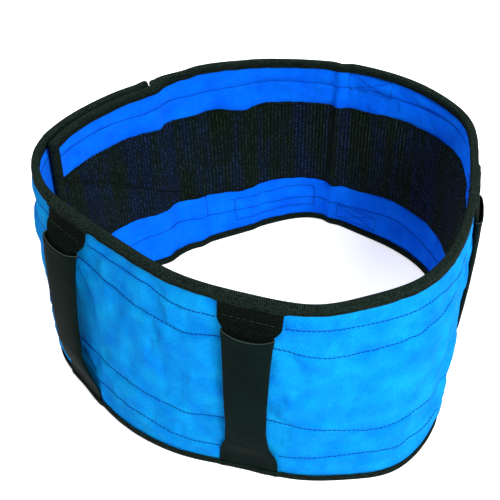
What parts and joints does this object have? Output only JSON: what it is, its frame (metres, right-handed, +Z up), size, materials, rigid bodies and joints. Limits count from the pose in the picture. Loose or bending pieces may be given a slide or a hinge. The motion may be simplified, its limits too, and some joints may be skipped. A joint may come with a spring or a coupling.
{
  "type": "gait belt",
  "caption": "Wide padded gait belt closed into an upright loop, with bound edges, an anti-slip inner band, a hook-and-loop closing flap and vertical grip handles.",
  "frame": {"origin": "centre of the bounding box on the surface the lower edge rests on", "axes": "+Z up along the belt's height, front of the loop towards -Y, wearer's opening along Z"},
  "size_m": [0.3626, 0.3651, 0.188],
  "materials": {
    "blue_shell_fabric": "woven polyester, slight sheen",
    "blue_lining_fabric": "woven polyester, slight sheen",
    "foam": "closed-cell foam sheet, hidden",
    "black_binding_tape": "twill tape, matt",
    "black_grip_mesh": "ribbed anti-slip knit, matt",
    "black_loop_pile": "brushed loop pile",
    "black_hook_tape": "hook tape",
    "grey_label_fabric": "plain woven label with no print",
    "black_rubber_grip": "smooth coated sleeve, satin",
    "black_webbing": "woven webbing, matt"
  },
  "bodies": {
    "belt": {"outer_shell_fabric": "blue_shell_fabric", "foam_core": "foam", "inner_lining_fabric": "blue_lining_fabric", "anti_slip_mesh_band": "black_grip_mesh", "top_edge_binding": "black_binding_tape", "bottom_edge_binding": "black_binding_tape", "inner_end_binding": "black_binding_tape", "loop_pile_panel": "black_loop_pile", "blank_label": "grey_label_fabric", "handle_back_right_top_anchor": "black_webbing", "handle_back_right_bottom_anchor": "black_webbing", "handle_right_top_anchor": "black_webbing", "handle_right_bottom_anchor": "black_webbing", "handle_front_top_anchor": "black_webbing", "handle_front_bottom_anchor": "black_webbing", "handle_front_left_top_anchor": "black_webbing", "handle_front_left_bottom_anchor": "black_webbing"},
    "closing_flap": {"flap_outer_fabric": "blue_shell_fabric", "flap_foam_core": "foam", "flap_inner_lining": "blue_lining_fabric", "flap_top_binding": "black_binding_tape", "flap_bottom_binding": "black_binding_tape", "flap_end_binding": "black_binding_tape", "flap_hook_panel": "black_hook_tape", "handle_left_top_anchor": "black_webbing", "handle_left_bottom_anchor": "black_webbing"},
    "handle_back_right": {"handle_back_right_strap": "black_webbing", "handle_back_right_grip_sleeve": "black_rubber_grip"},
    "handle_right": {"handle_right_strap": "black_webbing", "handle_right_grip_sleeve": "black_rubber_grip"},
    "handle_front": {"handle_front_strap": "black_webbing", "handle_front_grip_sleeve": "black_rubber_grip"},
    "handle_front_left": {"handle_front_left_strap": "black_webbing", "handle_front_left_grip_sleeve": "black_rubber_grip"},
    "handle_left": {"handle_left_strap": "black_webbing", "handle_left_grip_sleeve": "black_rubber_grip"}
  },
  "joints": [
    {"name": "closing_flap_hinge", "type": "hinge", "parent": "belt", "child": "closing_flap", "pos_m": [-0.17913, 0.02104, 0.095], "axis": [-0.0579, -0.067, 0.9961], "range_deg": [0, 110]},
    {"name": "handle_back_right_pull", "type": "slide", "parent": "belt", "child": "handle_back_right", "axis": [0.4978, 0.8673, 0], "range_m": [0, 0.012]},
    {"name": "handle_right_pull", "type": "slide", "parent": "belt", "child": "handle_right", "axis": [0.9766, -0.215, 0], "range_m": [0, 0.012]},
    {"name": "handle_front_pull", "type": "slide", "parent": "belt", "child": "handle_front", "axis": [-0.3161, -0.9487, 0], "range_m": [0, 0.012]},
    {"name": "handle_front_left_pull", "type": "slide", "parent": "belt", "child": "handle_front_left", "axis": [-0.7642, -0.6449, 0], "range_m": [0, 0.012]},
    {"name": "handle_left_pull", "type": "slide", "parent": "closing_flap", "child": "handle_left", "axis": [-0.8178, 0.5755, 0], "range_m": [0, 0.012]}
  ]
}
